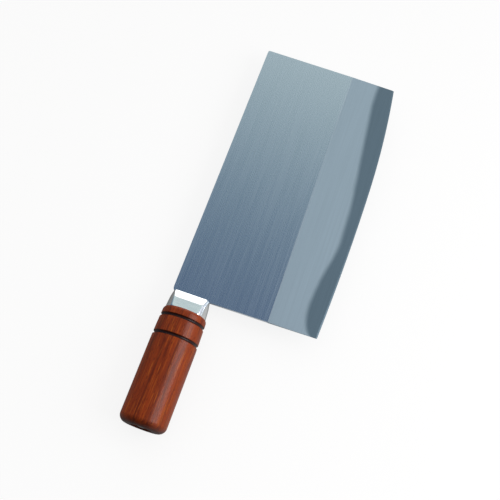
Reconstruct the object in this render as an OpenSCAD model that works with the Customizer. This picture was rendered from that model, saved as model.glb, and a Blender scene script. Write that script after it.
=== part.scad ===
// Chinese cleaver lying on its side: tip toward +X, cutting edge toward -Y, +Z up.
// The drawing starts from the upper heel corner of the blade. The modules at the end move
// the whole tool so that the origin is the middle of the bottom face of its box.

/* [Blade plate] */
// Length of the blade along the spine, from heel to tip
blade_len = 220; // [180:1:260]
// Height of the blade at the heel
heel_h = 110; // [90:1:130]
// How much lower the belly of the edge hangs than the heel corner
heel_drop = 3.8; // [1:0.2:8]
// How much the edge climbs from its belly to the tip
tip_rise = 5.8; // [1:0.2:16]
// Distance of the belly, the lowest point of the edge, from the heel
belly_x = 125; // [90:1:150]
// How far the heel leans forward from the spine down to the edge
heel_lean = 1.4; // [0:0.2:4]
// How far the tip leans back from the spine down to the edge
tip_lean = 0.6; // [0:0.2:4]
// Thickness of the blade at the spine
blade_t = 2.4; // [2:0.1:4]
// Radius of the corner where the spine meets the heel
heel_round = 3.5; // [1:0.5:8]
// Radius of the corner where the spine meets the tip
tip_round = 1.5; // [0.5:0.5:8]

/* [Ground edge] */
// Height of the ground wedge above the belly of the edge
grind_h = 41; // [30:1:60]
// Thickness that the wedge would reach at the belly
edge_t = 0.5; // [0.4:0.1:0.8]
// Angle of the cutting bevel on each side
bevel_angle = 17; // [10:1:30]
// Flat left on the very edge
edge_land = 0.06; // [0.04:0.02:0.2]

/* [Hard steel] */
// Height of the bare hard steel above the belly, at the heel
strip_heel = 10; // [7:0.5:13]
// Height of its hump, a little ahead of the heel
strip_hump = 18.5; // [14:0.5:24]
// Height of its lowest dip
strip_dip = 11.5; // [8:0.5:13]
// Height of the bare hard steel at the tip
strip_tip = 21; // [14:0.5:26]
// Distance of the hump from the heel
hump_x = 22; // [10:1:40]
// Distance of the dip from the heel
dip_x = 80; // [60:1:110]
// Height of the welded tongue above the belly
tongue_h = 34; // [28:1:38]
// Thickness of the tongue between the two cheeks of the blade
tongue_t = 0.7; // [0.5:0.1:0.8]

/* [Stub and tang] */
// Width of the stub that the blade has inside the ferrule
stub_w = 20; // [14:1:24]
// Length of the stub behind the heel
stub_len = 12; // [10:0.5:15]
// How much thinner than the plate the stub is filed on each side, so that the ferrule seats
seat_step = 0.1; // [0.05:0.05:0.2]
// Diameter of the rod that runs through the handle
tang_d = 7; // [5:0.5:9]
// Length over which the rod is split and welded on the stub
weld_len = 6; // [4:0.5:8]
// Diameter of the peened head on the rod
peen_d = 11; // [10:0.5:13]
// Height of the peened head
peen_h = 1.7; // [1:0.1:2.5]

/* [Ferrule] */
// Depth of the ferrule behind the heel
ferrule_depth = 13.2; // [11:0.2:16]
// How far the mouth of the ferrule laps over the blade
mouth_lap = 0.4; // [0.2:0.1:1.2]
// Distance behind the heel at which the front bevel starts
band_s = 5; // [4:0.5:7]
// Radius of the ferrule at its mouth
mouth_r = 13.7; // [12.5:0.1:14.5]
// Radius where the front bevel starts
band_r = 14.7; // [14:0.1:15]
// Radius at the wood
ferrule_r = 15.3; // [15:0.1:16]
// Half height of the ferrule at its mouth
mouth_z = 6.2; // [4:0.2:8]
// Half height where the front bevel starts
band_z = 10; // [9:0.2:11]
// Half height of the two flats at the wood
flat_z = 12; // [11.2:0.2:13]
// Wall of the ferrule
ferrule_wall = 1.2; // [0.8:0.1:1.6]
// Thickness of the front wall that the stub passes through
front_wall = 2.2; // [1.8:0.1:3]

/* [Wooden handle] */
// Distance of the handle's axis below the spine
axis_drop = 15; // [13:0.5:25]
// Length of the wood behind the ferrule
handle_len = 85; // [75:1:110]
// Radius of the grip
grip_r = 17; // [16.6:0.1:19]
// Radius of the wood at the ferrule
neck_r = 15.4; // [15:0.1:16]
// Radius that the neck rounds over to
shoulder_r = 16.4; // [16:0.1:16.6]
// Radius of the rounding at the neck
neck_round = 3; // [2:0.5:4]
// Length of the slow swell from the neck to the grip
swell_len = 27; // [22:1:40]
// Radius of the rounding at the butt
butt_round = 5.5; // [3:0.5:7]
// Distance of the first groove from the ferrule
groove_1 = 6.4; // [5:0.2:9]
// Distance of the second groove from the ferrule
groove_2 = 20.1; // [14:0.2:24]
// Width of each groove
groove_w = 1.9; // [1:0.1:3]
// Depth of each groove
groove_depth = 1; // [0.6:0.1:1.4]

/* [Washer and fits] */
// Diameter of the washer under the peened head
washer_d = 15; // [14:0.5:16]
// Thickness of the washer
washer_t = 1.2; // [0.8:0.1:2]
// How deep the peened head lies below the butt
head_sink = 0.3; // [0:0.1:1]
// Clearance between the metal parts and the wood around them
fit = 0.15; // [0.05:0.05:0.3]

/* [Hidden] */
$fn = 96;
// Sides of the very large circles of the edge, so that each side stays short
EDGE_FN = 720;
// How far cutting solids reach past what they cut
over = 5;

belly_h = heel_h + heel_drop;
grind_y = belly_h - grind_h;
butt_s = ferrule_depth + handle_len;
swell_s = ferrule_depth + sqrt(pow(neck_round, 2) - pow(neck_r - shoulder_r + neck_round, 2));
cavity_s = front_wall - mouth_lap;
stub_t = blade_t - 2 * seat_step;
seat_w = 2 * (mouth_r + fit);
pocket_d = washer_d + 4 * fit;
pocket_depth = washer_t + peen_h + head_sink;

// Half thickness of the blade at a distance y below the spine
wedge_slope = (blade_t - edge_t) / 2 / grind_h;
function half_t(y) = blade_t / 2 - max(0, y - grind_y) * wedge_slope;

// Radius of the arc of the edge that leaves the belly level and rises by rise within run
function arc_r(run, rise) = (run * run + rise * rise) / (2 * rise);

// Height of the bare hard steel above the belly, along the blade
function ease(a, b, t) = a + (b - a) * (1 - cos(180 * t)) / 2;
function strip_h(x) =
    x < hump_x ? strip_heel + (strip_hump - strip_heel) * sqrt(1 - pow(1 - max(0, x) / hump_x, 2))
    : x < dip_x ? ease(strip_hump, strip_dip, (x - hump_x) / (dip_x - hump_x))
    : ease(strip_dip, strip_tip, min(1, (x - dip_x) / (blade_len - dip_x)));

// Radius of the turned wood at a distance s behind the heel
function wood_r(s) =
    shoulder_r + (grip_r - shoulder_r) * max(0, min(1, (s - swell_s) / swell_len));

// Puts a solid drawn along +Z on the handle's axis, with +Z toward the butt
module on_axis() {
    translate([0, -axis_drop, 0]) rotate([0, -90, 0]) children();
}

// Solid of the blade's cross section, longer than the blade
module wedge_bar() {
    low = belly_h + 2;
    translate([-over, 0, 0]) rotate([90, 0, 90]) linear_extrude(height = blade_len + 2 * over)
        polygon([
            [over, blade_t / 2], [-grind_y, blade_t / 2], [-low, half_t(low)],
            [-low, -half_t(low)], [-grind_y, -blade_t / 2], [over, -blade_t / 2]
        ]);
}

// Flat outline between the heel line, the spine and the tip line, open below the edge
module straight_sides() {
    low = belly_h + over;
    polygon([
        [0, 0], [blade_len, 0],
        [blade_len - tip_lean * low / (belly_h - tip_rise), -low], [heel_lean * low / heel_h, -low]
    ]);
}

// Cuts a square corner at the origin, with its sides along +X and -Y, to a radius
module corner_off(r) {
    difference() {
        translate([-over, -r]) square([r + over, r + over]);
        translate([r, -r]) circle(r);
    }
}

// Flat outline of the strip of bare hard steel, open below the edge
module strip_outline() {
    rise = [for (i = [0:6]) hump_x * (1 - cos(15 * i))];
    fall = [for (i = [1:6]) hump_x + (dip_x - hump_x) * i / 6];
    climb = [for (i = [1:10]) dip_x + (blade_len - dip_x) * i / 10];
    low = -belly_h - over;
    polygon(concat(
        [[-over, low], [-over, strip_heel - belly_h]],
        [for (x = concat(rise, fall, climb)) [x, strip_h(x) - belly_h]],
        [[blade_len + over, strip_tip - belly_h], [blade_len + over, low]]
    ));
}

// Lens with a beveled rim, one side of the belly: side is -1 toward the heel, 1 toward the tip
module edge_lens(side) {
    run = side < 0 ? belly_x - heel_lean : blade_len - tip_lean - belly_x;
    r = arc_r(run, side < 0 ? heel_drop : tip_rise);
    half = blade_t;
    inner = r - (half - edge_land / 2) / tan(bevel_angle);
    reach = run + 2 * over;
    intersection() {
        translate([belly_x, r - belly_h, 0]) rotate_extrude($fn = EDGE_FN)
            polygon([
                [0, -half], [inner, -half], [r, -edge_land / 2],
                [r, edge_land / 2], [inner, half], [0, half]
            ]);
        translate([belly_x + (side < 0 ? -reach : 0), -belly_h - over, -half])
            cube([reach, belly_h + over, 2 * half]);
    }
}

// Soft steel plate with its stub: ground to a wedge, slotted for the hard steel, and filed
// a little thinner where the mouth of the ferrule straddles its heel
module blade_plate() {
    difference() {
        intersection() {
            linear_extrude(height = blade_t, center = true) difference() {
                straight_sides();
                strip_outline();
                corner_off(heel_round);
                translate([blade_len, 0]) mirror([1, 0]) corner_off(tip_round);
            }
            wedge_bar();
        }
        translate([-over, -belly_h, -tongue_t / 2]) cube([blade_len + 2 * over, tongue_h, tongue_t]);
        for (z = [stub_t / 2, -stub_t / 2 - over])
            translate([-over, -axis_drop - seat_w / 2, z]) cube([over + mouth_lap + fit, seat_w, over]);
    }
    translate([-stub_len, -axis_drop - stub_w / 2, -stub_t / 2])
        cube([stub_len + heel_lean + 1, stub_w, stub_t]);
}

// Hard steel: the bare strip with the cutting bevel, and the tongue above it
module hard_steel() {
    intersection() {
        linear_extrude(height = blade_t, center = true) intersection() {
            straight_sides();
            strip_outline();
        }
        wedge_bar();
        union() {
            edge_lens(-1);
            edge_lens(1);
        }
    }
    linear_extrude(height = tongue_t, center = true) difference() {
        intersection() {
            straight_sides();
            translate([-over, -belly_h]) square([blade_len + 2 * over, tongue_h]);
        }
        strip_outline();
    }
}

// Outer form of the ferrule, or the same form w smaller all round from the depth s0 backward
module ferrule_form(w, s0) {
    function band(a, b) = a + (b - a) * (s0 + mouth_lap) / (band_s + mouth_lap);
    r0 = band(mouth_r, band_r) - w;
    z0 = band(mouth_z, band_z) - w;
    intersection() {
        rotate_extrude() polygon([
            [0, s0], [r0, s0], [band_r - w, band_s], [ferrule_r - w, ferrule_depth],
            [0, ferrule_depth]
        ]);
        translate([0, grip_r, 0]) rotate([90, 0, 0]) linear_extrude(height = 2 * grip_r)
            polygon([
                [z0, s0], [band_z - w, band_s], [flat_z - w, ferrule_depth],
                [w - flat_z, ferrule_depth], [w - band_z, band_s], [-z0, s0]
            ]);
    }
}

// Flat slot for the stub, from the depth s0 to the depth s1, a little larger than the stub
module stub_slot(s0, s1) {
    thick = stub_t + 2 * fit;
    wide = stub_w + 2 * fit;
    translate([-thick / 2, -wide / 2, s0]) cube([thick, wide, s1 - s0]);
}

// Metal cap with a kerf across its mouth that straddles the heel of the blade
module ferrule_cap() {
    kerf_t = stub_t + 2 * fit;
    on_axis() difference() {
        ferrule_form(0, -mouth_lap);
        ferrule_form(ferrule_wall, cavity_s);
        translate([-kerf_t / 2, -grip_r, -over]) cube([kerf_t, 2 * grip_r, over + fit]);
        stub_slot(-over, cavity_s + over);
    }
}

// Turned outline of the wood behind the ferrule, radius against depth
module wood_profile() {
    intersection() {
        union() {
            polygon([
                [0, ferrule_depth], [neck_r, ferrule_depth], [shoulder_r, swell_s],
                [grip_r, swell_s + swell_len], [grip_r, butt_s - butt_round],
                [grip_r - butt_round, butt_s], [0, butt_s]
            ]);
            translate([shoulder_r - neck_round, swell_s]) circle(neck_round);
            translate([grip_r - butt_round, butt_s - butt_round]) circle(butt_round);
        }
        translate([0, ferrule_depth]) square([grip_r + over, handle_len]);
    }
}

// Groove around the wood at a distance s behind the heel
module groove(s) {
    r = (pow(groove_w / 2, 2) + pow(groove_depth, 2)) / (2 * groove_depth);
    translate([wood_r(s) + r - groove_depth, s]) circle(r, $fn = 32);
}

// Turned wood with its tenon, bored for the rod and sunk for the washer
module wood() {
    on_axis() difference() {
        union() {
            rotate_extrude() difference() {
                wood_profile();
                groove(ferrule_depth + groove_1);
                groove(ferrule_depth + groove_2);
            }
            ferrule_form(ferrule_wall + fit, cavity_s + fit);
        }
        stub_slot(-over, stub_len + fit);
        translate([0, 0, -over]) cylinder(d = tang_d + 2 * fit, h = butt_s + 2 * over);
        translate([0, 0, butt_s - pocket_depth]) cylinder(d = pocket_d, h = pocket_depth + over);
    }
}

// Rod split over the stub at the front and peened over the washer at the butt
module rod() {
    weld_s = stub_len - weld_len;
    head_s = butt_s - head_sink - peen_h;
    dome_r = (pow(peen_d / 2, 2) + pow(peen_h, 2)) / (2 * peen_h);
    on_axis() difference() {
        union() {
            translate([0, 0, weld_s]) cylinder(d = tang_d, h = head_s - weld_s + peen_h / 2);
            translate([0, 0, head_s]) rotate_extrude() intersection() {
                translate([0, peen_h - dome_r]) circle(dome_r);
                square([peen_d / 2, peen_h]);
            }
        }
        translate([-stub_t / 2, -tang_d, weld_s - over]) cube([stub_t, 2 * tang_d, weld_len + over]);
    }
}

// Round washer at the bottom of the pocket in the butt
module washer() {
    on_axis() translate([0, 0, butt_s - pocket_depth]) difference() {
        cylinder(d = washer_d, h = washer_t);
        translate([0, 0, -over]) cylinder(d = tang_d + 2 * fit, h = washer_t + 2 * over);
    }
}

// Moves the drawing so that the origin is the middle of the bottom of the tool's box
module place() {
    back = max(0, grip_r - axis_drop);
    translate([(butt_s - blade_len) / 2, (belly_h - back) / 2, grip_r]) children();
}

module blade_body() {
    color([0.52, 0.60, 0.66]) place() blade_plate();
}

module edge_steel() {
    color([0.40, 0.47, 0.53]) place() hard_steel();
}

module ferrule() {
    color([0.80, 0.82, 0.84]) place() ferrule_cap();
}

module handle() {
    color([0.56, 0.25, 0.10]) place() wood();
}

module tang() {
    color([0.62, 0.62, 0.62]) place() rod();
}

module butt_washer() {
    color([0.72, 0.72, 0.70]) place() washer();
}

blade_body();
edge_steel();
ferrule();
handle();
tang();
butt_washer();
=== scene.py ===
# %% [markdown]
# A chinese cleaver, seen from above while it lies on its side: a broad laminated blade, a
# bright metal ferrule and a round varnished handle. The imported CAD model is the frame, in
# metres. It keeps the rod and the washer in the butt. The parts that the eye rests on, the
# blade, the ferrule and the wood, are built again here, because a CAD solid has knife-sharp
# edges everywhere, and light only catches an edge that is a little soft.

# %% Load the frame
import math

import bmesh
import bpy
from mathutils import Matrix, Vector


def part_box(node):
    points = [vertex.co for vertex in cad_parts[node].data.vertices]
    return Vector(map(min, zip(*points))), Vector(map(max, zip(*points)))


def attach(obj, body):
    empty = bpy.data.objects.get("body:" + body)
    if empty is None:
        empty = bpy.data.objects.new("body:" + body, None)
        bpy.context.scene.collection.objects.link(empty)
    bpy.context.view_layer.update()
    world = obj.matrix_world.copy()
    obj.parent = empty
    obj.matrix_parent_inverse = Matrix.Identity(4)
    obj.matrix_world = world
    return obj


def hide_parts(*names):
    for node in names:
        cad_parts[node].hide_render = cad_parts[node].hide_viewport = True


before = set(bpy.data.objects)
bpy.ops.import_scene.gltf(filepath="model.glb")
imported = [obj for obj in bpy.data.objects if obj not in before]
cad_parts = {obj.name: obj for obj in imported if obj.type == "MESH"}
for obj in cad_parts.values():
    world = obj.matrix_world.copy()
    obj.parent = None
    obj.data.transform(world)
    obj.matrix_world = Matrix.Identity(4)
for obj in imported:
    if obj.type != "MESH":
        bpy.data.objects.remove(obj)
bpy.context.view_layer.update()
MM = 0.001

blade_low, blade_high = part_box("blade_body")
edge_low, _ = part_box("edge_steel")
ferrule_low, ferrule_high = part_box("ferrule")
handle_low, handle_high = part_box("handle")

# %% [markdown]
# Everything is measured from the upper heel corner of the blade, as a knife maker does:
# x runs along the spine toward the tip, y is minus the distance below the spine, and z is
# the height above the middle plane of the blade. s is minus x, the depth behind the heel.
# The pieces could be measured in the frame's own metres, but a maker's sizes read better, so
# one function turns such millimetres into a place in the frame.

# %% Places from the heel
BLADE_LEN = 220.0
TIP_X = blade_high[0]
SPINE_Y = blade_high[1]
MID_Z = (handle_low[2] + handle_high[2]) / 2
HEEL_X = TIP_X - BLADE_LEN * MM


def place(x, y, z):
    return Vector((HEEL_X + x * MM, SPINE_Y + y * MM, MID_Z + z * MM))


AXIS_Y = ((handle_low[1] + handle_high[1]) / 2 - SPINE_Y) / MM
GRIP_R = (handle_high[2] - handle_low[2]) / 2 / MM
BUTT_S = (HEEL_X - handle_low[0]) / MM
FERRULE_S = (HEEL_X - ferrule_low[0]) / MM
MOUTH_S = (HEEL_X - ferrule_high[0]) / MM
BELLY_H = (SPINE_Y - edge_low[1]) / MM
print("axis", round(AXIS_Y, 2), "grip radius", round(GRIP_R, 2), "belly", round(BELLY_H, 2))

# %% [markdown]
# The photograph was taken from above the handle, with the tip of the blade further away. A
# camera fitted to the four corners of the blade gives the place, the direction and the
# lens, which sees 500 pixels across 36 mm at a focal length of 750 pixels. It could be
# aimed by eye, but a fitted camera lets a render be laid over the photograph.

# %% Camera
CAMERA_PLACE = Vector((-0.2021, -0.0308, 0.5398))
CAMERA_FORWARD = Vector((0.3412, 0.0788, -0.9367))
CAMERA_UP = Vector((0.8814, 0.3194, 0.3480))
FOCAL_PX = 750.0
IMAGE_PX = 500.0
SENSOR_MM = 36.0

right = CAMERA_FORWARD.cross(CAMERA_UP).normalized()
up = right.cross(CAMERA_FORWARD).normalized()
turn = Matrix((right, up, -CAMERA_FORWARD.normalized())).transposed().to_4x4()
camera_data = bpy.data.cameras.new("camera")
camera_data.sensor_width = SENSOR_MM
camera_data.lens = SENSOR_MM * FOCAL_PX / IMAGE_PX
camera = bpy.data.objects.new("camera", camera_data)
camera.matrix_world = Matrix.Translation(CAMERA_PLACE) @ turn
bpy.context.scene.collection.objects.link(camera)
bpy.context.scene.camera = camera
print("lens", round(camera_data.lens, 1), "mm")

# %% [markdown]
# Shader trees are easier to read when a node is made, filled in and wired in one line.
# These helpers do only that. A value that is a socket is wired, and any other value is
# written into the input.

# %% Helpers for nodes


def add(tree, kind, inputs=None, **settings):
    node = tree.nodes.new(kind)
    for name, value in settings.items():
        setattr(node, name, value)
    for key, value in (inputs or {}).items():
        if isinstance(value, bpy.types.NodeSocket):
            tree.links.new(value, node.inputs[key])
        else:
            node.inputs[key].default_value = value
    return node


def math_node(tree, operation, first, second=0.0):
    node = add(tree, "ShaderNodeMath", {0: first, 1: second}, operation=operation)
    return node.outputs[0]


def mix_colour(tree, factor, first, second):
    node = add(tree, "ShaderNodeMix", data_type="RGBA")
    for slot_index, value in ((0, factor), (6, first), (7, second)):
        if isinstance(value, bpy.types.NodeSocket):
            tree.links.new(value, node.inputs[slot_index])
        else:
            node.inputs[slot_index].default_value = value
    return node.outputs[2]


def between(tree, value, low, high, out_low=0.0, out_high=1.0):
    node = add(tree, "ShaderNodeMapRange", {
        "Value": value, "From Min": low, "From Max": high,
        "To Min": out_low, "To Max": out_high,
    }, interpolation_type="SMOOTHSTEP")
    return node.outputs[0]


print("helpers:", add.__name__, math_node.__name__, mix_colour.__name__, between.__name__)

# %% [markdown]
# A group of nodes is a finish that several materials can share. Each material starts from
# the Principled shader, which covers metal, wood and varnish alike. A colour as a screen
# shows it has to be turned into linear light before a shader can use it.

# %% Helpers for groups, materials and colours


def new_group(name, inputs, outputs):
    group = bpy.data.node_groups.new(name, "ShaderNodeTree")
    for socket_name, kind, value in inputs:
        socket = group.interface.new_socket(socket_name, in_out="INPUT", socket_type=kind)
        socket.default_value = value
    for socket_name, kind in outputs:
        group.interface.new_socket(socket_name, in_out="OUTPUT", socket_type=kind)
    return group, group.nodes.new("NodeGroupInput"), group.nodes.new("NodeGroupOutput")


def new_material(name):
    material = bpy.data.materials.new(name)
    material.use_nodes = True
    tree = material.node_tree
    shader = tree.nodes["Principled BSDF"]
    return material, tree, shader


def srgb(red, green, blue):
    def linear(value):
        value = value / 255
        return value / 12.92 if value <= 0.04045 else ((value + 0.055) / 1.055) ** 2.4
    return (linear(red), linear(green), linear(blue), 1.0)


print("mid grey is", round(srgb(128, 128, 128)[0], 3), "in linear light")

# %% [markdown]
# Brushing is the mark of the grinding belt: long fine scratches that run along the blade.
# They could be painted, but noise squeezed across the scratches gives them without a seam.
# The same group serves the blade, the ferrule and the small steel parts, each with its own
# scratch size.

# %% Node group: brushing
brushing, brush_in, brush_out = new_group(
    "brushing",
    [("Along", "NodeSocketFloat", 12.0), ("Across", "NodeSocketFloat", 900.0)],
    [("Streaks", "NodeSocketFloat"), ("Patches", "NodeSocketFloat")],
)
where = add(brushing, "ShaderNodeTexCoord").outputs["Object"]
squeeze = add(brushing, "ShaderNodeCombineXYZ", {
    "X": brush_in.outputs["Along"], "Y": brush_in.outputs["Across"],
    "Z": brush_in.outputs["Across"],
})
stretched = add(brushing, "ShaderNodeVectorMath", {0: where, 1: squeeze.outputs[0]},
                operation="MULTIPLY")
fine = add(brushing, "ShaderNodeTexNoise", {
    "Vector": stretched.outputs[0], "Scale": 1.0, "Detail": 4.0, "Roughness": 0.6,
})
broad = add(brushing, "ShaderNodeTexNoise", {"Vector": where, "Scale": 26.0, "Detail": 3.0})
brushing.links.new(fine.outputs[0], brush_out.inputs["Streaks"])
brushing.links.new(broad.outputs[0], brush_out.inputs["Patches"])
print("group", brushing.name)

# %% [markdown]
# The blade has three finishes. The plate is satin steel and mirrors the room softly, so it
# runs from light at the tip to slate at the heel. The ground wedge of soft steel is stoned
# matte and looks even and pale. The hard steel along the edge is darker, and the line
# between them is a soft wavy cloud, where the two steels were welded and ground through.
# One material does all three: the height on the blade picks the finish, and an attribute
# on the mesh says how far a point lies above the weld line.

# %% Material: laminated blade steel
GRIND_H = 41.0
GRIND_Y = BELLY_H - GRIND_H

PLATE_TONE = (0.66, 0.71, 0.75, 1.0)
WEDGE_TONE = srgb(158, 177, 189)
STRIP_TONE = srgb(96, 117, 130)
GRIND_FADE = 0.5
WELD_WAVE = 3.0
WELD_FADE_FROM, WELD_FADE_TO = 0.6, -4.2
STONED_METALLIC = 0.35
STONED_ROUGHER = 0.14


def blade_steel(name):
    material, tree, shader = new_material(name)
    marks = add(tree, "ShaderNodeGroup", {"Along": 14.0, "Across": 1500.0}, node_tree=brushing)
    streaks = marks.outputs["Streaks"]
    patches = marks.outputs["Patches"]
    place_y = add(tree, "ShaderNodeSeparateXYZ", {
        "Vector": add(tree, "ShaderNodeTexCoord").outputs["Object"],
    }).outputs["Y"]
    wedge_line = SPINE_Y - GRIND_Y * MM
    wedge = between(tree, place_y, wedge_line + GRIND_FADE * MM, wedge_line - GRIND_FADE * MM)
    above = add(tree, "ShaderNodeAttribute", attribute_name="above_weld").outputs["Fac"]
    cloud = math_node(tree, "MULTIPLY_ADD", patches, WELD_WAVE)
    cloud.node.inputs[2].default_value = -WELD_WAVE / 2
    wavy = math_node(tree, "ADD", above, cloud)
    strip = between(tree, wavy, WELD_FADE_FROM, WELD_FADE_TO)
    tone = mix_colour(tree, wedge, PLATE_TONE, WEDGE_TONE)
    tone = mix_colour(tree, strip, tone, STRIP_TONE)
    grain = between(tree, streaks, 0.25, 0.75, 0.96, 1.04)
    tint = add(tree, "ShaderNodeVectorMath", {0: tone}, operation="SCALE")
    tree.links.new(grain, tint.inputs["Scale"])
    tree.links.new(tint.outputs[0], shader.inputs["Base Color"])
    metallic = between(tree, wedge, 0.0, 1.0, 1.0, STONED_METALLIC)
    tree.links.new(metallic, shader.inputs["Metallic"])
    rough = math_node(tree, "MULTIPLY_ADD", wedge, STONED_ROUGHER)
    tree.links.new(between(tree, streaks, 0.2, 0.8, 0.24, 0.32), rough.node.inputs[2])
    tree.links.new(rough, shader.inputs["Roughness"])
    bump = add(tree, "ShaderNodeBump", {"Height": streaks, "Strength": 0.03, "Distance": 0.0003})
    tree.links.new(bump.outputs[0], shader.inputs["Normal"])
    return material


soft_steel = blade_steel("soft_steel")
hard_steel = blade_steel("hard_steel")
print("grind line", round(GRIND_Y, 1), "mm below the spine")

# %% [markdown]
# The outline of the blade is nearly a rectangle. The heel and the tip lean a little, the two
# corners at the spine are rounded, and the edge is two large arcs that meet at the belly, its
# lowest point. It could be traced point by point, but arcs stay smooth at any distance and
# take only a few sizes.

# %% The outline of the blade
HEEL_H = 110.0
HEEL_DROP = BELLY_H - HEEL_H
TIP_RISE = 5.8
BELLY_X = 125.0
HEEL_LEAN = 1.4
TIP_LEAN = 0.6
HEEL_ROUND = 3.5
TIP_ROUND = 1.5


def arc_drop(x, run, rise):
    radius = (run * run + rise * rise) / (2 * rise)
    return radius - math.sqrt(radius * radius - (x - BELLY_X) ** 2)


def edge_y(x):
    if x < BELLY_X:
        return -BELLY_H + arc_drop(x, BELLY_X - HEEL_LEAN, HEEL_DROP)
    return -BELLY_H + arc_drop(x, BLADE_LEN - TIP_LEAN - BELLY_X, TIP_RISE)


def spine_y(x):
    near = min(x / HEEL_ROUND, 1.0)
    far = min((BLADE_LEN - x) / TIP_ROUND, 1.0)
    at_heel = HEEL_ROUND * (1 - math.sqrt(1 - (1 - near) ** 2))
    at_tip = TIP_ROUND * (1 - math.sqrt(1 - (1 - far) ** 2))
    return -at_heel - at_tip


def leaned(x, y):
    share = x / BLADE_LEN
    heel = HEEL_LEAN * -y / HEEL_H
    tip = TIP_LEAN * -y / (BELLY_H - TIP_RISE)
    return x + heel * (1 - share) - tip * share


print("edge at the heel", round(edge_y(0), 1), "at the tip", round(edge_y(BLADE_LEN), 1))

# %% [markdown]
# The hard steel stands bare below the weld line. The line climbs to a hump near the heel,
# dips, and rises slowly toward the tip. A free-hand line would do, but a quarter of an
# ellipse and two eased runs follow it with six sizes. From the grind line down, the steel
# thins evenly.

# %% The weld line and the thickness
STRIP_HEEL = 10.0
STRIP_HUMP = 18.5
STRIP_DIP = 11.5
STRIP_TIP = 21.0
HUMP_X = 22.0
DIP_X = 80.0


def ease(low, high, t):
    return low + (high - low) * (1 - math.cos(math.pi * t)) / 2


def weld_y(x):
    if x < HUMP_X:
        part = math.sqrt(1 - (1 - max(0.0, x) / HUMP_X) ** 2)
        return -BELLY_H + STRIP_HEEL + (STRIP_HUMP - STRIP_HEEL) * part
    if x < DIP_X:
        return -BELLY_H + ease(STRIP_HUMP, STRIP_DIP, (x - HUMP_X) / (DIP_X - HUMP_X))
    return -BELLY_H + ease(STRIP_DIP, STRIP_TIP, (x - DIP_X) / (BLADE_LEN - DIP_X))


BLADE_T = (blade_high[2] - blade_low[2]) / MM
WEDGE_T = 0.5
WEDGE_SLOPE = (BLADE_T - WEDGE_T) / 2 / GRIND_H


def half_thickness(y):
    return BLADE_T / 2 - max(0.0, -y - GRIND_Y) * WEDGE_SLOPE


print("weld line", [round(weld_y(x) + BELLY_H, 1) for x in (0, HUMP_X, DIP_X, BLADE_LEN)])

# %% [markdown]
# A closed sheet of steel is two skins and a rim. It could be cut from a block, but then its
# faces would not follow the grinding. So one grid of faces is shaped into the upper skin,
# doubled and mirrored for the lower one, and the two borders are bridged. Columns of the grid
# crowd where the corners are round, and its rows follow the lines that matter: the spine,
# the grind line, the weld line and the edge.

# %% Sheets of steel
COLUMNS = 110
HEEL_STEPS, HEEL_STEP = 6, 15
TIP_STEPS, TIP_STEP = 5, 18
MERGE = 0.002 * MM


def rounding(radius, step, count):
    return [radius * (1 - math.cos(math.radians(step * i))) for i in range(count)]


def columns_along():
    heel = rounding(HEEL_ROUND, HEEL_STEP, HEEL_STEPS)
    tip = [BLADE_LEN - inward for inward in rounding(TIP_ROUND, TIP_STEP, TIP_STEPS)]
    run = BLADE_LEN - TIP_ROUND - HEEL_ROUND
    middle = [HEEL_ROUND + run * i / COLUMNS for i in range(COLUMNS + 1)]
    return sorted(set(heel + middle + tip))


def sheet_of_steel(rows, half_of):
    """A closed shell between rows, each a function from x to y, with half_of giving its skin."""
    xs = columns_along()
    bm = bmesh.new()
    bmesh.ops.create_grid(bm, x_segments=len(xs) - 1, y_segments=len(rows) - 1, size=1.0)
    layer = bm.verts.layers.float.new("above_weld")
    for vert in bm.verts:
        column = round((vert.co.x + 1) / 2 * (len(xs) - 1))
        row = round((1 - vert.co.y) / 2 * (len(rows) - 1))
        x = xs[column]
        y = rows[row](x)
        vert[layer] = y - weld_y(x)
        vert.co = place(leaned(x, y), y, half_of(x, y))
    skin = bm.faces[:]
    copy = bmesh.ops.duplicate(bm, geom=bm.verts[:] + bm.edges[:] + skin)
    for item in copy["geom"]:
        if isinstance(item, bmesh.types.BMVert):
            item.co.z = 2 * MID_Z - item.co.z
    borders = [edge for edge in bm.edges if edge.is_boundary]
    bmesh.ops.bridge_loops(bm, edges=borders)
    bmesh.ops.remove_doubles(bm, verts=bm.verts[:], dist=MERGE)
    bmesh.ops.recalc_face_normals(bm, faces=bm.faces[:])
    return bm


print(len(columns_along()), "columns along the blade")

# %% [markdown]
# A bmesh becomes a piece once it is written into a mesh that hangs on an object. The same
# helper says which CAD body the piece replaces, what it rides on, and which material it
# wears. All faces are shaded smooth, which would blur a real corner, so the edges that turn
# by more than a set angle are marked sharp first.

# %% Finishing a piece


def finish_piece(bm, name, material, replaced):
    for face in bm.faces:
        face.smooth = True
    mesh = bpy.data.meshes.new(name)
    bm.to_mesh(mesh)
    bm.free()
    mesh.materials.append(material)
    piece = bpy.data.objects.new(name, mesh)
    bpy.context.scene.collection.objects.link(piece)
    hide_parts(replaced)
    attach(piece, "root")
    print(name, len(mesh.polygons), "faces")


def mark_sharp(bm, degrees):
    for edge in bm.edges:
        if edge.is_manifold and edge.calc_face_angle(0.0) > math.radians(degrees):
            edge.smooth = False


print("CAD nodes:", sorted(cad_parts))

# %% [markdown]
# The soft steel plate is flat from the spine to the grind line, and a long thin wedge below
# it. On the real blade the stone rounds the grind line over a little, and that is what makes
# it glint. A bevel would do the same, but a row of points on each side of the line, and the
# line itself lowered a hair, does it with three rows.

# %% Blade plate
SOFTEN = 0.7
PLATE_ROWS = (4.0, 10.0, 20.0, 35.0, 50.0, 62.0, 69.0)
WEDGE_SHARES = (0.25, 0.5, 0.75, 1.0)
CORNER_GAP = 0.0125
PLATE_SHARP = 40


def depth_row(depth):
    return lambda x: min(spine_y(x) - CORNER_GAP * depth, -depth)


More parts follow.
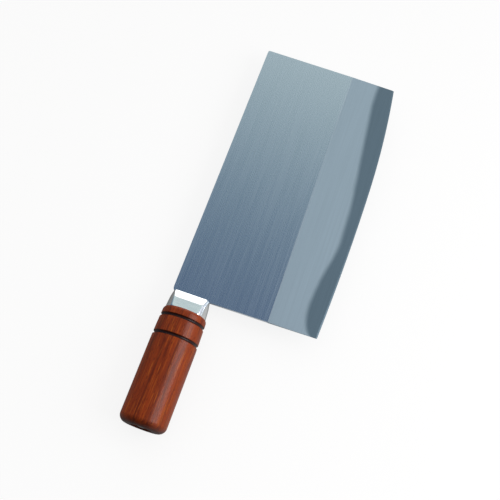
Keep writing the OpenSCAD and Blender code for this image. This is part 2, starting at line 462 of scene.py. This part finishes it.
def wedge_row(share):
    start = -GRIND_Y - SOFTEN
    return lambda x: start + (weld_y(x) - start) * share


body_rows = [spine_y]
body_rows += [depth_row(depth) for depth in PLATE_ROWS]
body_rows += [depth_row(GRIND_Y - SOFTEN), depth_row(GRIND_Y), wedge_row(0.0)]
body_rows += [wedge_row(share) for share in WEDGE_SHARES]


def soft_half(x, y):
    """Half the thickness of the plate, with the grind line itself lowered a hair."""
    if abs(-y - GRIND_Y) < SOFTEN / 2:
        return half_thickness(y) - WEDGE_SLOPE * SOFTEN / 4
    return half_thickness(y)


plate_bm = sheet_of_steel(body_rows, soft_half)
mark_sharp(plate_bm, PLATE_SHARP)
finish_piece(plate_bm, "blade_plate", soft_steel, "blade_body")

# %% [markdown]
# The hard steel strip takes the last centimetre or two of the wedge. Close to the edge the
# surface turns into the narrow cutting bevel, which thins the steel to almost nothing. It
# could share the plate's mesh, but the real strip is a piece of its own, so it is a second
# sheet, with rows that run from the weld line to the edge.

# %% Hard steel edge
BEVEL_W = 1.1
LAND_HALF = 0.03
AT_EDGE = 0.01
STRIP_SHARES = (0.0, 0.3, 0.6, 0.85, 1.0)
BEVEL_SHARP = 9


def strip_row(share):
    return lambda x: weld_y(x) + (edge_y(x) + BEVEL_W - weld_y(x)) * share


def edge_half(x, y):
    if y <= edge_y(x) + AT_EDGE:
        return LAND_HALF
    return half_thickness(y)


edge_rows = [strip_row(share) for share in STRIP_SHARES] + [edge_y]
edge_bm = sheet_of_steel(edge_rows, edge_half)
mark_sharp(edge_bm, BEVEL_SHARP)
finish_piece(edge_bm, "hard_edge", hard_steel, "edge_steel")

# %% [markdown]
# The ferrule is a round metal cap that is pressed flat above and below in two bands, a steep
# one at the mouth and a gentle one behind it. It could be cut from a cone with planes, but
# that leaves razor-sharp corners. So it is spun round the handle's axis, and the flats are
# pressed into it, as in a die. Three radii and three heights say how both widen toward the
# handle, and an average over two millimetres rounds the kink between the bands.

# %% Ferrule: how it widens
BAND_S = 5.0
MOUTH_R, BAND_R, BACK_R = 13.7, 14.7, 15.3
MOUTH_FLAT, BAND_FLAT, BACK_FLAT = 6.2, 10.0, 12.0
EASE_STEPS = (-1.0, -0.5, 0.0, 0.5, 1.0)


def along(s, mouth, band, back):
    if s < BAND_S:
        return mouth + (band - mouth) * (s - MOUTH_S) / (BAND_S - MOUTH_S)
    return band + (back - band) * (s - BAND_S) / (FERRULE_S - BAND_S)


def eased_along(s, mouth, band, back):
    near = [along(min(max(s + step, MOUTH_S), FERRULE_S), mouth, band, back)
            for step in EASE_STEPS]
    return sum(near) / len(near)


print("ferrule radius", [round(eased_along(s, MOUTH_R, BAND_R, BACK_R), 2)
                         for s in (MOUTH_S, BAND_S, FERRULE_S)])

# %% [markdown]
# A turned piece is half an outline, spun once round its axis. A screw modifier does that
# too, but the spin of a bmesh leaves real points, which can still be pressed or darkened one
# by one. Points that fall on one another, at the seam and on the axis, are merged, so that
# the shell is closed.

# %% Spinning an outline


def spin_profile(points, steps):
    """Spins (s, radius) points round the handle's axis into a closed shell."""
    bm = bmesh.new()
    verts = [bm.verts.new(place(-s, AXIS_Y, radius)) for s, radius in points]
    for first, second in zip(verts, verts[1:]):
        bm.edges.new((first, second))
    centre = place(0, AXIS_Y, 0)
    bmesh.ops.spin(bm, geom=bm.verts[:] + bm.edges[:], cent=centre, axis=(1, 0, 0),
                   angle=2 * math.pi, steps=steps, use_merge=True)
    bmesh.ops.remove_doubles(bm, verts=bm.verts[:], dist=MERGE)
    bmesh.ops.recalc_face_normals(bm, faces=bm.faces[:])
    return bm


print("axis of the handle at", [round(value, 4) for value in place(0, AXIS_Y, 0)])

# %% [markdown]
# The cap's outline has a small rounded rim at each end, because thin metal is never left
# sharp there. The steps of the spin are many, so that the lines where the flats meet the
# round sides stay clean. A smooth minimum does the pressing: far below the flat it leaves a
# point alone, far above it puts the point on the flat, and between it blends.

# %% Ferrule: spun and pressed
FERRULE_STEPS = 440
FERRULE_ROWS = 44
FERRULE_RIM = 0.35
RIM_CUT = 0.3 * FERRULE_RIM
BLEND = 0.45
FERRULE_SHARP = 50


def ferrule_points():
    run = FERRULE_S - MOUTH_S - 2 * FERRULE_RIM
    outside = [MOUTH_S + FERRULE_RIM + run * i / FERRULE_ROWS for i in range(FERRULE_ROWS + 1)]
    wall = [(s, eased_along(s, MOUTH_R, BAND_R, BACK_R)) for s in outside]
    front = [(MOUTH_S, 0.0), (MOUTH_S, MOUTH_R - FERRULE_RIM),
             (MOUTH_S + RIM_CUT, MOUTH_R - RIM_CUT)]
    back = [(FERRULE_S - RIM_CUT, BACK_R - RIM_CUT), (FERRULE_S, BACK_R - FERRULE_RIM),
            (FERRULE_S, 0.0)]
    return front + wall + back


def soft_min(value, limit, blend):
    return -blend * math.log(math.exp(-value / blend) + math.exp(-limit / blend))


def press_flats(bm):
    for vert in bm.verts:
        s = (HEEL_X - vert.co.x) / MM
        height = (vert.co.z - MID_Z) / MM
        flat = eased_along(s, MOUTH_FLAT, BAND_FLAT, BACK_FLAT)
        pressed = soft_min(abs(height), flat, BLEND) + BLEND * math.exp(-flat / BLEND)
        vert.co.z = MID_Z + math.copysign(max(0.0, pressed), height) * MM


ferrule_bm = spin_profile(ferrule_points(), FERRULE_STEPS)
press_flats(ferrule_bm)
mark_sharp(ferrule_bm, FERRULE_SHARP)
print("ferrule outline", len(ferrule_points()), "points, spun in", FERRULE_STEPS, "steps")

# %% [markdown]
# The cap is polished bright, so it shows the room almost as a mirror, with faint marks that
# run across it, as a buffing wheel leaves them. A plain mirror would do, but it would look
# like glass: the same brushing group, turned across, breaks the reflection a little.

# %% Material: polished ferrule
METAL_DARK = srgb(222, 227, 229)
METAL_LIGHT = srgb(252, 252, 250)

metal, metal_tree, metal_shader = new_material("ferrule_metal")
metal_marks = add(metal_tree, "ShaderNodeGroup", {"Along": 900.0, "Across": 160.0},
                  node_tree=brushing)
metal_tree.links.new(
    between(metal_tree, metal_marks.outputs["Streaks"], 0.2, 0.8, 0.10, 0.20),
    metal_shader.inputs["Roughness"],
)
metal_tree.links.new(
    mix_colour(metal_tree, metal_marks.outputs["Streaks"], METAL_DARK, METAL_LIGHT),
    metal_shader.inputs["Base Color"],
)
metal_shader.inputs["Metallic"].default_value = 1.0
finish_piece(ferrule_bm, "ferrule_cap", metal, "ferrule")

# %% [markdown]
# The handle was turned on a lathe, so it is one outline spun once round, which is also how
# a lathe works. A stack of cylinders would need every joint hidden. The grooves get rounded
# bottoms and eased lips, and from a rounded neck the wood swells slowly to the full grip.

# %% Turned wood: the radius along it
NECK_R, SHOULDER_R, NECK_ROUND = 15.4, 16.4, 3.0
SWELL_LEN = 27.0
GROOVES = (FERRULE_S + 6.4, FERRULE_S + 20.1)
GROOVE_W = 1.9
GROOVE_DEPTH = 1.0
GROOVE_EASE = 0.3
GROOVE_BOTTOM = 0.6
SWELL_S = FERRULE_S + math.sqrt(NECK_ROUND ** 2 - (NECK_R - SHOULDER_R + NECK_ROUND) ** 2)


def groove_cut(s):
    cut = 0.0
    for middle in GROOVES:
        off = abs(s - middle) / (GROOVE_W / 2 + GROOVE_EASE)
        if off < 1.0:
            cut = max(cut, GROOVE_DEPTH * (1 - off ** 2) ** GROOVE_BOTTOM)
    return cut


def wood_radius(s):
    if s < SWELL_S:
        return SHOULDER_R - NECK_ROUND + math.sqrt(NECK_ROUND ** 2 - (SWELL_S - s) ** 2)
    share = min(1.0, (s - SWELL_S) / SWELL_LEN)
    return SHOULDER_R + (GRIP_R - SHOULDER_R) * math.sin(share * math.pi / 2) - groove_cut(s)


print("grooves at", [round(middle, 1) for middle in GROOVES], "mm behind the heel")

# %% [markdown]
# The outline runs from the bore out to the neck, back along the grip, round the butt and
# down into the pocket for the washer. Even rows would do, but the grooves need fine ones and
# the plain grip needs few. The outline ends where it began, at the bore of the rod, so the
# spin makes a solid ring of wood.

# %% Turned wood: the outline
BUTT_ROUND = 5.5
BORE_R = 3.65
POCKET_R = 7.8
POCKET_DEPTH = 3.2
POCKET_LIP = 0.4
WOOD_STEPS = 180
NECK_ROWS = 6
FINE_ROW = 0.15
GRIP_ROWS = 8
BUTT_STEPS, BUTT_STEP = 11, 9
WOOD_SHARP = 42


def wood_points():
    neck = [FERRULE_S + (SWELL_S - FERRULE_S) * i / NECK_ROWS for i in range(NECK_ROWS)]
    swell_end = SWELL_S + SWELL_LEN
    front = [SWELL_S + FINE_ROW * i for i in range(int((swell_end - SWELL_S) / FINE_ROW))]
    grip_end = BUTT_S - BUTT_ROUND
    grip = [swell_end + (grip_end - swell_end) * i / GRIP_ROWS for i in range(GRIP_ROWS)]
    outside = [(s, wood_radius(s)) for s in neck + front + grip]
    corner = []
    for i in range(BUTT_STEPS):
        angle = math.radians(BUTT_STEP * i)
        corner.append((grip_end + BUTT_ROUND * math.sin(angle),
                       GRIP_R - BUTT_ROUND + BUTT_ROUND * math.cos(angle)))
    pocket = [(BUTT_S, POCKET_R + POCKET_LIP), (BUTT_S - POCKET_LIP, POCKET_R),
              (BUTT_S - POCKET_DEPTH, POCKET_R), (BUTT_S - POCKET_DEPTH, BORE_R)]
    start = [(FERRULE_S, BORE_R)]
    return start + outside + corner + pocket + start


wood_bm = spin_profile(wood_points(), WOOD_STEPS)
mark_sharp(wood_bm, WOOD_SHARP)
print("handle outline", len(wood_points()), "points, spun in", WOOD_STEPS, "steps")

# %% [markdown]
# The wood is a reddish brown tropical hardwood under a glossy varnish. Its grain runs the
# length of the handle: slow bands of lighter and darker wood, fine fibres, and short dark
# pores. The grooves are darkened, and the rounding of the butt is darkened toward its end
# as painted shade, both by an attribute on the mesh. A photograph of wood
# could be wrapped round, but noise that is stretched along the handle has no seam.

# %% Node group: wood grain
GRAIN_TURN = (0.0, 0.0, 0.06)
grain_group, grain_in, grain_out = new_group(
    "wood_grain",
    [("Dark", "NodeSocketColor", (0.08, 0.02, 0.01, 1)),
     ("Middle", "NodeSocketColor", (0.3, 0.1, 0.03, 1)),
     ("Light", "NodeSocketColor", (0.5, 0.2, 0.08, 1))],
    [("Color", "NodeSocketColor"), ("Fibre", "NodeSocketFloat")],
)
wood_where = add(grain_group, "ShaderNodeTexCoord").outputs["Object"]
wood_map = add(grain_group, "ShaderNodeMapping", {
    "Vector": wood_where, "Rotation": GRAIN_TURN, "Scale": (16.0, 260.0, 260.0),
})
bands = add(grain_group, "ShaderNodeTexNoise", {
    "Vector": wood_map.outputs[0], "Scale": 1.0, "Detail": 5.0, "Roughness": 0.62,
    "Distortion": 0.5,
}).outputs[0]
fibre_map = add(grain_group, "ShaderNodeMapping", {
    "Vector": wood_where, "Rotation": GRAIN_TURN, "Scale": (60.0, 1100.0, 1100.0),
})
fibre = add(grain_group, "ShaderNodeTexNoise", {
    "Vector": fibre_map.outputs[0], "Scale": 1.0, "Detail": 3.0,
}).outputs[0]
pore_map = add(grain_group, "ShaderNodeMapping", {
    "Vector": wood_where, "Scale": (210.0, 1500.0, 1500.0),
})
pore_noise = add(grain_group, "ShaderNodeTexVoronoi", {
    "Vector": pore_map.outputs[0], "Scale": 1.0,
}).outputs["Distance"]
pores = between(grain_group, pore_noise, 0.34, 0.16)
banded = mix_colour(grain_group, between(grain_group, bands, 0.30, 0.62, 0.25, 1.0),
                    grain_in.outputs["Dark"], grain_in.outputs["Middle"])
banded = mix_colour(grain_group, between(grain_group, fibre, 0.5, 0.78, 0.0, 0.6), banded,
                    grain_in.outputs["Light"])
pored = mix_colour(grain_group, math_node(grain_group, "MULTIPLY", pores, 0.7), banded,
                   grain_in.outputs["Dark"])
grain_group.links.new(pored, grain_out.inputs["Color"])
grain_group.links.new(fibre, grain_out.inputs["Fibre"])
print("group", grain_group.name)

# %% [markdown]
# Varnish is a clear coat over the wood. The wood below is dull and saturated, and the coat
# gives the soft pale highlight. One glossy layer could do both, but then the highlight would
# wash out the colour, so the coat stays a separate, weaker layer.

# %% Material: varnished hardwood
# A near-black brown. It darkens the grooves, and as painted shade it darkens the rounding of the
# butt.
GROOVE_AND_END_SHADE_TONE = srgb(38, 10, 6)
GROOVE_DARKENING = 1.7
# How dark the painted shade on the butt's rounding gets at the very end.
END_SHADE = 0.8
SKIN_R = SHOULDER_R - 2

varnished, wood_tree, wood_shader = new_material("varnished_wood")
grain_node = add(wood_tree, "ShaderNodeGroup", node_tree=grain_group)
grain_node.inputs["Dark"].default_value = srgb(80, 20, 2)
grain_node.inputs["Middle"].default_value = srgb(144, 54, 3)
grain_node.inputs["Light"].default_value = srgb(184, 94, 14)
# The dark tone is mixed in by an attribute: darker grooves, and painted shade at the butt.
groove_and_end_shade_fac = add(wood_tree, "ShaderNodeAttribute", attribute_name="groove_and_end_shade").outputs["Fac"]
wood_colour = mix_colour(wood_tree, groove_and_end_shade_fac, grain_node.outputs["Color"], GROOVE_AND_END_SHADE_TONE)
wood_tree.links.new(wood_colour, wood_shader.inputs["Base Color"])
wood_tree.links.new(
    between(wood_tree, grain_node.outputs["Fibre"], 0.2, 0.8, 0.42, 0.54),
    wood_shader.inputs["Roughness"],
)
fibre_bump = add(wood_tree, "ShaderNodeBump", {
    "Height": grain_node.outputs["Fibre"], "Strength": 0.25, "Distance": 0.0002,
})
wood_tree.links.new(fibre_bump.outputs[0], wood_shader.inputs["Normal"])
wood_shader.inputs["Specular IOR Level"].default_value = 0.12
wood_shader.inputs["Coat Weight"].default_value = 0.32
wood_shader.inputs["Coat Roughness"].default_value = 0.22

groove_and_end_shade_layer = wood_bm.verts.layers.float.new("groove_and_end_shade")
for vert in wood_bm.verts:
    s = (HEEL_X - vert.co.x) / MM
    away = math.hypot(vert.co.y - SPINE_Y - AXIS_Y * MM, vert.co.z - MID_Z) / MM
    # The grooves are darkened, on the outer surface of the wood only.
    groove_darkening = GROOVE_DARKENING * groove_cut(s) / GROOVE_DEPTH if away > SKIN_R else 0.0
    # Painted shade: the rounding of the butt darkens toward its end, which faces away from the
    # light.
    end_shade = END_SHADE * (s - BUTT_S + BUTT_ROUND) / BUTT_ROUND
    vert[groove_and_end_shade_layer] = max(0.0, min(1.0, max(groove_darkening, end_shade)))
finish_piece(wood_bm, "turned_wood", varnished, "handle")

# %% [markdown]
# The rod and the washer show only in the pocket of the butt, where the end of the rod was
# hammered over the washer. They could be built again too, but their CAD shapes are right as
# they are, so they keep them and get a plain brushed steel each.

# %% Rod and washer
WORN_DARKER = 22


def plain_steel(name, tone):
    material, tree, shader = new_material(name)
    marks = add(tree, "ShaderNodeGroup", {"Along": 500.0, "Across": 700.0}, node_tree=brushing)
    worn = srgb(*[level - WORN_DARKER for level in tone])
    tree.links.new(mix_colour(tree, marks.outputs["Patches"], worn, srgb(*tone)),
                   shader.inputs["Base Color"])
    tree.links.new(between(tree, marks.outputs["Streaks"], 0.2, 0.8, 0.28, 0.45),
                   shader.inputs["Roughness"])
    shader.inputs["Metallic"].default_value = 1.0
    return material


for node_name, tone in (("tang", (186, 186, 184)), ("butt_washer", (200, 199, 195))):
    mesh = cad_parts[node_name].data
    mesh.materials.clear()
    mesh.materials.append(plain_steel(node_name + "_steel", tone))
    print(node_name, "dressed")

# %% [markdown]
# The cleaver lies on a white table. More light would whiten it, but would bleach the steel
# too. So the camera sees the table almost at pure white, and a small share of real light
# keeps the shadow. For every other ray the table is a duller grey, so that it doesn't flood
# the butt and the sides of the ferrule with light from below. A white card lies on it on
# the edge's side, which only shiny surfaces show.

# %% Floor
FLOOR_HALF = 1.6
WHITE_SHARE = 0.85
TABLE_SEEN = (0.95, 0.95, 0.95, 1.0)
TABLE_LIT = (0.3, 0.3, 0.3, 1.0)
CARD_EDGE_Y = handle_low[1] - 0.02
CARD_FADE = 0.03
CARD_SHARE = 0.5

floor_bm = bmesh.new()
bmesh.ops.create_grid(floor_bm, x_segments=1, y_segments=1, size=FLOOR_HALF)
floor_mesh = bpy.data.meshes.new("floor")
floor_bm.to_mesh(floor_mesh)
floor_bm.free()
floor = bpy.data.objects.new("floor", floor_mesh)
bpy.context.scene.collection.objects.link(floor)

paper, paper_tree, paper_shader = new_material("white_paper")
paper_tree.nodes.remove(paper_shader)
path = add(paper_tree, "ShaderNodeLightPath")
table = mix_colour(paper_tree, path.outputs["Is Camera Ray"], TABLE_LIT, TABLE_SEEN)
diffuse = add(paper_tree, "ShaderNodeBsdfDiffuse", {"Color": table})
glow = add(paper_tree, "ShaderNodeEmission", {"Color": (1, 1, 1, 1), "Strength": 1.0})
seen = math_node(paper_tree, "MULTIPLY", path.outputs["Is Camera Ray"], WHITE_SHARE)
table_y = add(paper_tree, "ShaderNodeSeparateXYZ", {
    "Vector": add(paper_tree, "ShaderNodeTexCoord").outputs["Object"],
}).outputs["Y"]
card = between(paper_tree, table_y, CARD_EDGE_Y + CARD_FADE, CARD_EDGE_Y, 0.0, CARD_SHARE)
card = math_node(paper_tree, "MULTIPLY", card, path.outputs["Is Glossy Ray"])
seen = math_node(paper_tree, "MAXIMUM", seen, card)
blend = add(paper_tree, "ShaderNodeMixShader",
            {0: seen, 1: diffuse.outputs[0], 2: glow.outputs[0]})
paper_tree.links.new(blend.outputs[0], paper_tree.nodes["Material Output"].inputs["Surface"])
floor_mesh.materials.append(paper)
print("table", 2 * FLOOR_HALF, "m wide")

# %% [markdown]
# The room is what a satin blade shows. It is dark slate overhead, where the camera and the
# ceiling are, and grows light toward the horizon beyond the tip, as a white screen would.
# Diffuse light comes mostly from the tip's side too, so the butt falls off into shade. A
# pale wall stands on the edge's side. Cards and screens could be built as meshes, but a
# colour for each direction is easier to tune. Each stop is a share of the way from the
# butt's side (0) over straight up (0.5) to the tip's side (1), with the colour that shiny
# surfaces see there.

# %% Room
ROOM = (
    (0.00, (0.10, 0.10, 0.10)),
    (0.30, (0.12, 0.13, 0.15)),
    (0.52, (0.06, 0.11, 0.21)),
    (0.61, (0.07, 0.12, 0.24)),
    (0.70, (0.13, 0.22, 0.31)),
    (0.80, (0.66, 0.79, 0.79)),
    (0.86, (0.46, 0.54, 0.57)),
    (0.94, (1.50, 1.52, 1.52)),
    (1.00, (3.40, 3.40, 3.40)),
)
SIDE_WALL = (0.78, 0.82, 0.95, 1.0)
WALL_FROM, WALL_FULL, WALL_SHARE = -0.35, -0.85, 0.9
DAYLIGHT = 0.78
BEHIND_LIGHT = 0.03 * DAYLIGHT
AHEAD_LIGHT = 1.6 * DAYLIGHT

world = bpy.data.worlds.new("room")
world.use_nodes = True
bpy.context.scene.world = world
sky = world.node_tree
background = sky.nodes["Background"]
direction = add(sky, "ShaderNodeSeparateXYZ", {
    "Vector": add(sky, "ShaderNodeTexCoord").outputs["Generated"],
})
share = math_node(sky, "MULTIPLY_ADD", direction.outputs["X"], 0.5)
share.node.inputs[2].default_value = 0.5
ramp = add(sky, "ShaderNodeValToRGB", {"Fac": share})
while len(ramp.color_ramp.elements) < len(ROOM):
    ramp.color_ramp.elements.new(0.5)
for stop, (position, colour) in zip(ramp.color_ramp.elements, ROOM):
    stop.position = position
    stop.color = (*colour, 1.0)
ray = add(sky, "ShaderNodeLightPath")
behind = (BEHIND_LIGHT, BEHIND_LIGHT, BEHIND_LIGHT, 1.0)
ahead = (AHEAD_LIGHT, AHEAD_LIGHT, AHEAD_LIGHT, 1.0)
daylight = mix_colour(sky, share, behind, ahead)
beside = between(sky, direction.outputs["Y"], WALL_FROM, WALL_FULL, 0.0, WALL_SHARE)
mirrored = mix_colour(sky, beside, ramp.outputs["Color"], SIDE_WALL)
shade = mix_colour(sky, ray.outputs["Is Glossy Ray"], daylight, mirrored)
shade = mix_colour(sky, ray.outputs["Is Camera Ray"], shade, (1.0, 1.0, 1.0, 1.0))
sky.links.new(shade, background.inputs["Color"])
print("room with", len(ROOM), "stops")

# %% [markdown]
# One large soft lamp on the edge's side gives the handle its highlight. A small lamp would
# give a thin hard line along the varnish. This one is half a metre wide and close by, so
# its highlight is broad and has no hard border.

# %% Lamp
LAMP_DISTANCE = 0.75
LAMP_SIZE = 0.5
LAMP_POWER = 2.8
LAMP_WAY = Vector((0.12, -0.80, 0.60)).normalized()
aim = place(-50, AXIS_Y, 0)
lamp_data = bpy.data.lights.new("soft_lamp", "AREA")
lamp_data.shape = "SQUARE"
lamp_data.size = LAMP_SIZE
lamp_data.energy = LAMP_POWER
lamp_data.color = (1.0, 0.98, 0.97)
lamp = bpy.data.objects.new("soft_lamp", lamp_data)
lamp.matrix_world = (
    Matrix.Translation(aim + LAMP_WAY * LAMP_DISTANCE)
    @ LAMP_WAY.to_track_quat("Z", "Y").to_matrix().to_4x4()
)
bpy.context.scene.collection.objects.link(lamp)
print("lamp", LAMP_POWER, "W,", LAMP_DISTANCE, "m from the handle")

# %% [markdown]
# The Standard view shows each colour as it was written, where a filmic one would grey it.

# %% View
bpy.context.scene.view_settings.view_transform = "Standard"
